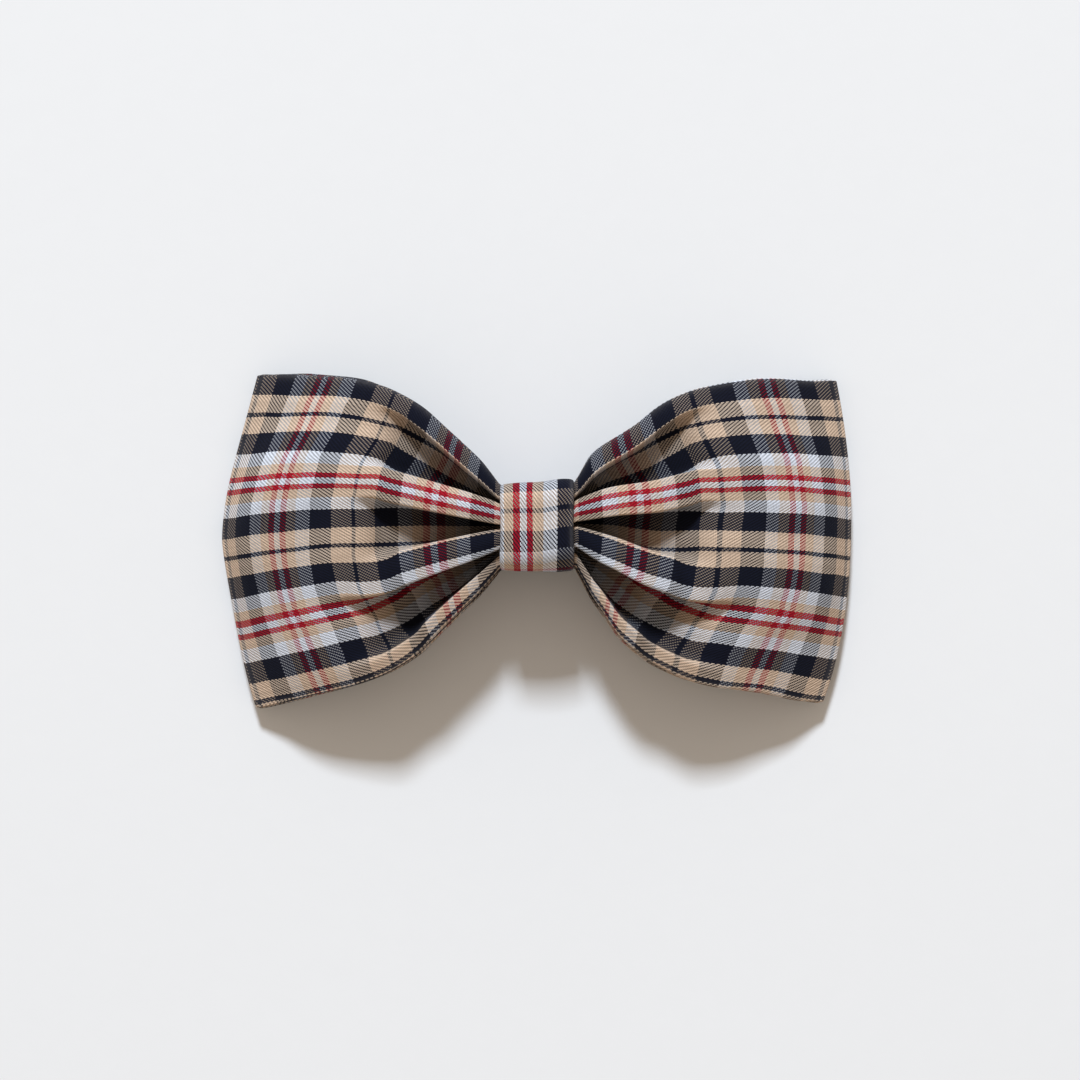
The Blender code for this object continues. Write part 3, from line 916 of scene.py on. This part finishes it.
def woven_elastic(name, colour):
    """Black elastic: rubber cords under a fine zigzag cover, with ribs that run its length."""
    tree = Tree(name)
    across, around = tree.attribute("across"), tree.attribute("around")

    def ridges(turn):
        return tree.math("ABSOLUTE", tree.math("SINE", tree.times(turn, 0.5)))

    rib = ridges(tree.times(across, 2 * math.pi / RIB_PITCH))
    slant = tree.times(tree.math("ABSOLUTE", tree.math("SUBTRACT", rib, 0.5)), PICK_BEND)
    pick = ridges(tree.add(tree.times(around, 2 * math.pi / PICK_PITCH), slant))
    fluff = tree.noise(tree.vector(across, around, 0.0), FLUFF_SCALE, 3.0, 0.7)
    height = tree.add(tree.times(rib, 0.7), tree.times(pick, 0.3), tree.times(fluff, 0.2))
    # The colour is paler on the tops of the ribs and picks and darker in the grooves between them:
    # painted highlight and shade, with the fluff's pale fibres on top
    light = tree.add(tree.times(height, 0.75), tree.times(fluff, 0.5))
    light = tree.math("MINIMUM", light, 1.0)
    pale = tuple(min(1.0, 0.035 + 3.2 * c) for c in colour)
    tree.join(tree.mix(light, (*colour, 1.0), (*pale, 1.0)), tree.surface.inputs["Base Color"])
    rough = tree.add(0.62, tree.times(fluff, 0.3))
    tree.join(rough, tree.surface.inputs["Roughness"])
    tree.surface.inputs["Specular IOR Level"].default_value = 0.35
    tree.surface.inputs["Sheen Weight"].default_value = 0.15
    tree.join(tree.bump(height, ELASTIC_DEPTH, 0.9), tree.surface.inputs["Normal"])
    return tree.material


def matte_table(name, colour):
    """A pale matte table with the faintest grain."""
    tree = Tree(name)
    place = tree.nodes.new("ShaderNodeTexCoord").outputs["Object"]
    grain = tree.noise(place, TABLE_GRAIN_SCALE, 3.0)
    darker = tuple(c * 0.985 for c in colour)
    tree.join(tree.mix(grain, (*darker, 1.0), (*colour, 1.0)), tree.surface.inputs["Base Color"])
    tree.surface.inputs["Roughness"].default_value = 0.9
    tree.surface.inputs["Specular IOR Level"].default_value = 0.2
    tree.join(tree.bump(grain, TABLE_GRAIN_DEPTH, 0.3), tree.surface.inputs["Normal"])
    return tree.material


# Pieces


class BOWTIE_OT_wings(Operator):
    """Sew both pleated wings of the bow"""

    bl_idname = "bowtie.wings"
    bl_label = "Wings"

    def execute(self, context):
        cloth = context.scene.bow_cloth_settings
        plaid = context.scene.bow_plaid_settings
        for side, node in ((-1, "left_wing"), (1, "right_wing")):
            wing = sew_wing(cloth, side)
            wing.data.materials.append(plaid_twill(node, plaid))
            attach(wing, "root")
            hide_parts(node)
        return {"FINISHED"}


class BOWTIE_OT_band(Operator):
    """Wrap the centre band round the pinched middle"""

    bl_idname = "bowtie.band"
    bl_label = "Centre band"

    def execute(self, context):
        band = context.scene.bow_band_settings
        plaid = context.scene.bow_plaid_settings
        path, normal, s, length = ring_path(
            float(BAND_LOW[1]),
            float(BAND_HIGH[1]),
            float(BAND_LOW[2]),
            float(BAND_HIGH[2]),
            band.front_radius,
            band.back_radius,
            BAND_ROWS,
        )
        across = np.linspace(1, -1, BAND_COLUMNS)
        half = float(BAND_HIGH[0] - BAND_LOW[0]) / 2 - band.wall / 2
        rows = len(path)
        outer = np.zeros((rows, len(across), 3))
        x = half * across[None, :] * np.ones((rows, 1))
        # The front is a little waisted, and pulled up on its right side
        front = np.clip(normal[:, 1], 0, 1)
        waist = front * (1 - step(0, WAIST_SPAN, np.abs(path[:, 0] - MIDDLE_RISE)))
        squeeze = 1 - WAIST * waist[:, None]
        crown = BAND_CROWN * np.abs(across[None, :]) ** 3
        seed, count, shortest, longest = SAG_WAVES
        sag = waves(seed, count, s[:, None], x, shortest, longest) * BAND_SAG
        drop = -crown + np.minimum(0, sag - BAND_SET)
        pull = band.tilt * (step(PULL_FROM, 1.0, across)[None, :] - PULL_BACK)
        pull = pull * step(*PULL_ROUND, normal[:, 1] + PULL_LEAN * normal[:, 0])[:, None]
        outer[:, :, 0] = MIDDLE_SHIFT + x * squeeze
        outer[:, :, 1] = path[:, None, 0] + normal[:, None, 0] * drop + pull
        outer[:, :, 2] = path[:, None, 1] + normal[:, None, 1] * drop
        uv = np.zeros((rows, len(across), 2))
        uv[:, :, 0] = s[:, None] - length / 2
        uv[:, :, 1] = -x
        wear = np.abs(across[None, :]) ** BAND_WEAR * np.ones((rows, 1))
        wrap = walled("centre_band_cloth", outer, band.wall, uv, wear, 0 * wear, closed=True)
        wrap.data.materials.append(plaid_twill("centre_band", plaid))
        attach(wrap, "root")
        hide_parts("centre_band")
        return {"FINISHED"}


def elastic_tree(material):
    """Nodes that sweep a flat ribbed strip round a closed loop with soft ends."""
    group = bpy.data.node_groups.new("elastic_loop", "GeometryNodeTree")
    sockets = {}
    for name, default in (
        ("Span", 0.014),
        ("Height", 0.0065),
        ("Width", 0.010),
        ("Thickness", 0.001),
    ):
        made = group.interface.new_socket(name=name, in_out="INPUT", socket_type="NodeSocketFloat")
        made.default_value = default
        sockets[name] = made.identifier
    group.interface.new_socket(name="Geometry", in_out="OUTPUT", socket_type="NodeSocketGeometry")
    nodes, links = group.nodes, group.links

    def add(kind, inputs, **options):
        """A node with its options set and its named or numbered inputs joined."""
        node = nodes.new(kind)
        for option, value in options.items():
            setattr(node, option, value)
        for key, value in inputs.items():
            if isinstance(value, bpy.types.NodeSocket):
                links.new(value, node.inputs[key])
            else:
                node.inputs[key].default_value = value
        return node.outputs

    def calculate(operation, one, other):
        return add("ShaderNodeMath", {0: one, 1: other}, operation=operation)[0]

    def rounded_curve(width, height, radius, corner_steps, points):
        """An oblong with rounded corners and evenly spaced points."""
        box = {"Width": width, "Height": height}
        oblong = add("GeometryNodeCurvePrimitiveQuadrilateral", box)[0]
        turns = {"Curve": oblong, "Count": corner_steps, "Radius": radius}
        soft = add("GeometryNodeFilletCurve", turns, mode="POLY")[0]
        return add("GeometryNodeResampleCurve", {"Curve": soft, "Count": points})[0]

    def measured(curve, name, value):
        """The curve with a named measure on its points."""
        inputs = {"Geometry": curve, "Name": name, "Value": value}
        kinds = {"data_type": "FLOAT", "domain": "POINT"}
        return add("GeometryNodeStoreNamedAttribute", inputs, **kinds)[0]

    given = add("NodeGroupInput", {})
    thick = given["Thickness"]
    span = calculate("SUBTRACT", given["Span"], thick)
    rise = calculate("SUBTRACT", given["Height"], thick)
    end_radius = calculate("MULTIPLY", rise, LOOP_ROUNDING)
    loop = rounded_curve(span, rise, end_radius, *LOOP_STEPS)
    loop = measured(loop, "around", add("GeometryNodeSplineParameter", {})["Length"])
    edge_radius = calculate("MULTIPLY", thick, EDGE_ROUNDING)
    strip = rounded_curve(thick, given["Width"], edge_radius, *STRIP_STEPS)
    place = add("GeometryNodeInputPosition", {})[0]
    strip = measured(strip, "across", add("ShaderNodeSeparateXYZ", {0: place})["Y"])
    sweep = add("GeometryNodeCurveToMesh", {"Curve": loop, "Profile Curve": strip})[0]
    realize = add("GeometryNodeRealizeInstances", {0: sweep})[0]
    painted = {"Geometry": realize, "Material": material}
    add("NodeGroupOutput", {0: add("GeometryNodeSetMaterial", painted)[0]})
    return group, sockets


class BOWTIE_OT_loop(Operator):
    """Sew the elastic loop that a collar slides through"""

    bl_idname = "bowtie.loop"
    bl_label = "Collar loop"

    def execute(self, context):
        settings = context.scene.bow_loop_settings
        material = woven_elastic("black_woven_elastic", tuple(settings.colour))
        group, sockets = elastic_tree(material)
        size = np.array(LOOP_HIGH) - np.array(LOOP_LOW)
        host = bpy.data.objects.new("elastic_maker", bpy.data.meshes.new("elastic_maker"))
        context.scene.collection.objects.link(host)
        sweep = host.modifiers.new("elastic_loop", "NODES")
        sweep.node_group = group
        wanted = {
            "Span": size[1],
            "Height": size[2],
            "Width": size[0],
            "Thickness": settings.wall,
        }
        for name, value in wanted.items():
            sweep[sockets[name]] = float(value)
        made = host.evaluated_get(context.evaluated_depsgraph_get())
        mesh = bpy.data.meshes.new_from_object(made)
        mesh.name = "collar_elastic"
        bpy.data.objects.remove(host)
        count = len(mesh.vertices)
        if count < 500:
            raise RuntimeError("the elastic loop came out empty")
        flat = np.zeros(count * 3)
        mesh.vertices.foreach_get("co", flat)
        points = flat.reshape(-1, 3)
        # The loop is made lying in its own plane; it stands up round the collar's way
        stood = np.stack([points[:, 2], points[:, 0], points[:, 1]], axis=1)
        centre = (np.array(LOOP_LOW) + np.array(LOOP_HIGH)) / 2
        stood += centre - (stood.max(axis=0) + stood.min(axis=0)) / 2
        mesh.vertices.foreach_set("co", stood.ravel())
        mesh.shade_smooth()
        mesh.update()
        loop = bpy.data.objects.new("collar_elastic", mesh)
        context.scene.collection.objects.link(loop)
        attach(loop, "root")
        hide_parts("collar_loop")
        return {"FINISHED"}


def light(name, size, power, place, target, colour):
    """A soft square light aimed at a point."""
    data = bpy.data.lights.new(name, "AREA")
    data.shape = "SQUARE"
    data.size = size
    data.energy = power
    data.color = colour
    obj = bpy.data.objects.new(name, data)
    bpy.context.scene.collection.objects.link(obj)
    aim(obj, place, target)


def aim(obj, place, target):
    """Puts an object at a place, looking at a target, with +Y up in its picture."""
    forward = np.array(target, float) - np.array(place, float)
    forward /= np.linalg.norm(forward)
    up = np.array([0, 1, 0]) if abs(forward[2]) > 0.9 else np.array([0, 0, 1])
    right = np.cross(forward, up)
    right /= np.linalg.norm(right)
    up = np.cross(right, forward)
    rows = np.eye(4)
    rows[:3, 0], rows[:3, 1], rows[:3, 2], rows[:3, 3] = right, up, -forward, place
    obj.matrix_world = Matrix(rows.tolist())


class BOWTIE_OT_stage(Operator):
    """Lay the table and set the lights and the camera"""

    bl_idname = "bowtie.stage"
    bl_label = "Stage"

    def execute(self, context):
        scene = context.scene
        stage = scene.bow_stage_settings
        corners = np.array([(-1, -1, 0), (1, -1, 0), (1, 1, 0), (-1, 1, 0)]) * 2.5
        table = mesh_object("table", corners.astype(float), [(0, 1, 2, 3)])
        table.data.materials.append(matte_table("pale_table", tuple(stage.table)))
        light("window_light", WINDOW_SIZE, WINDOW_POWER, WINDOW_PLACE, MIDDLE, WINDOW_COLOUR)
        world = bpy.data.worlds.new("studio")
        world.use_nodes = True
        back = world.node_tree.nodes["Background"]
        back.inputs["Color"].default_value = ROOM_COLOUR
        back.inputs["Strength"].default_value = ROOM_STRENGTH
        scene.world = world
        scene.view_settings.view_transform = "Standard"
        data = bpy.data.cameras.new("photo_camera")
        data.lens = stage.lens
        data.sensor_width = SENSOR_WIDTH
        data.sensor_fit = "HORIZONTAL"
        data.clip_start = 0.01
        camera = bpy.data.objects.new("photo_camera", data)
        scene.collection.objects.link(camera)
        distance = stage.view_width * stage.lens / SENSOR_WIDTH
        target = np.array(CAMERA_TARGET)
        back_and_up = np.array([0.0, -math.cos(stage.elevation), math.sin(stage.elevation)])
        aim(camera, tuple(target + distance * back_and_up), CAMERA_TARGET)
        scene.camera = camera
        return {"FINISHED"}


class BOWTIE_PT_panel(Panel):
    """The bow tie's pieces, in the order they are sewn"""

    bl_idname = "BOWTIE_PT_panel"
    bl_label = "Pet Bow Tie"
    bl_space_type = "VIEW_3D"
    bl_region_type = "UI"
    bl_category = "Bow Tie"

    def draw(self, context):
        for name, group in SETTINGS:
            box = self.layout.box()
            box.label(text=group.__doc__)
            for key in group.__annotations__:
                box.prop(getattr(context.scene, name), key)
        for maker in PIECES:
            self.layout.operator(maker.bl_idname)


PIECES = (BOWTIE_OT_wings, BOWTIE_OT_band, BOWTIE_OT_loop, BOWTIE_OT_stage)
CLASSES = (*(group for _, group in SETTINGS), *PIECES, BOWTIE_PT_panel)


def register():
    for made in CLASSES:
        bpy.utils.register_class(made)
    for name, group in SETTINGS:
        setattr(bpy.types.Scene, name, PointerProperty(type=group))


def unregister():
    for name, _ in SETTINGS:
        delattr(bpy.types.Scene, name)
    for made in reversed(CLASSES):
        bpy.utils.unregister_class(made)


def main():
    """Registers the classes and makes every piece."""
    register()
    bpy.ops.bowtie.wings()
    bpy.ops.bowtie.band()
    bpy.ops.bowtie.loop()
    bpy.ops.bowtie.stage()


if __name__ == "__main__":
    main()
